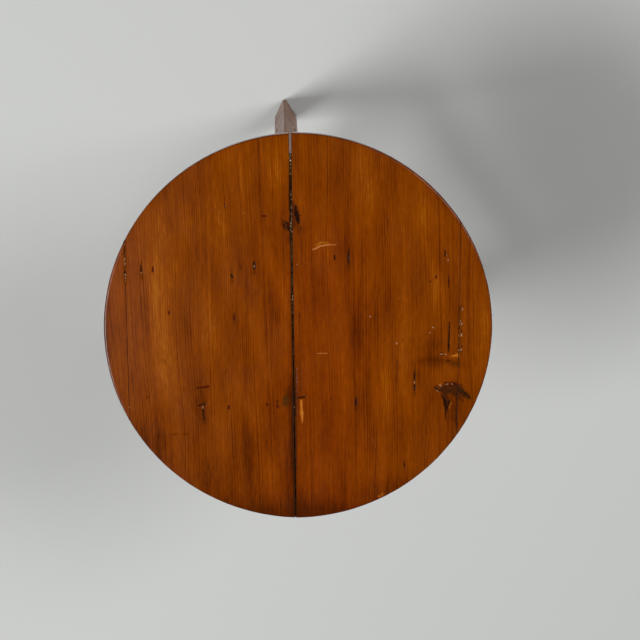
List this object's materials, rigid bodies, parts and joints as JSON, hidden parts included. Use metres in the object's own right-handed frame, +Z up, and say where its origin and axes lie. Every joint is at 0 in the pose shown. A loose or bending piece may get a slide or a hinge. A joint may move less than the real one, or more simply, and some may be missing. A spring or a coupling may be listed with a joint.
{
  "type": "cricket table",
  "caption": "Round plank top on a splayed three-legged country frame with pegged aprons and low stretchers, in old pine.",
  "frame": {"origin": "on the floor, under the middle of the round top", "axes": "+Z up, +Y towards the back leg, +X to the right; the boards' grain runs near Y, turned 3.6 degrees clockwise"},
  "size_m": [0.625, 0.6346, 0.737],
  "materials": {
    "polished_top": "satin shellac on old pine",
    "polished_leg": "satin shellac on old pine",
    "polished_rail": "satin shellac on old pine",
    "bare_dowel": "bare wood",
    "oak_peg": "polished end grain",
    "iron_nail": "dark rust"
  },
  "bodies": {
    "root": {"top_board_left_edge": "polished_top", "top_board_left": "polished_top", "top_board_right": "polished_top", "top_board_right_edge": "polished_top", "dowels_left_joint": "bare_dowel", "dowels_main_joint": "bare_dowel", "dowels_right_joint": "bare_dowel", "leg_back": "polished_leg", "leg_left": "polished_leg", "leg_right": "polished_leg", "apron_back_right": "polished_rail", "apron_back_left": "polished_rail", "apron_front": "polished_rail", "stretcher_back_right": "polished_rail", "stretcher_back_left": "polished_rail", "stretcher_front": "polished_rail", "apron_pegs_back": "oak_peg", "apron_pegs_left": "oak_peg", "apron_pegs_right": "oak_peg", "stretcher_pegs_back": "oak_peg", "stretcher_pegs_left": "oak_peg", "stretcher_pegs_right": "oak_peg", "nails_back_right": "iron_nail", "nails_back_left": "iron_nail", "nails_front": "iron_nail"}
  },
  "joints": []
}
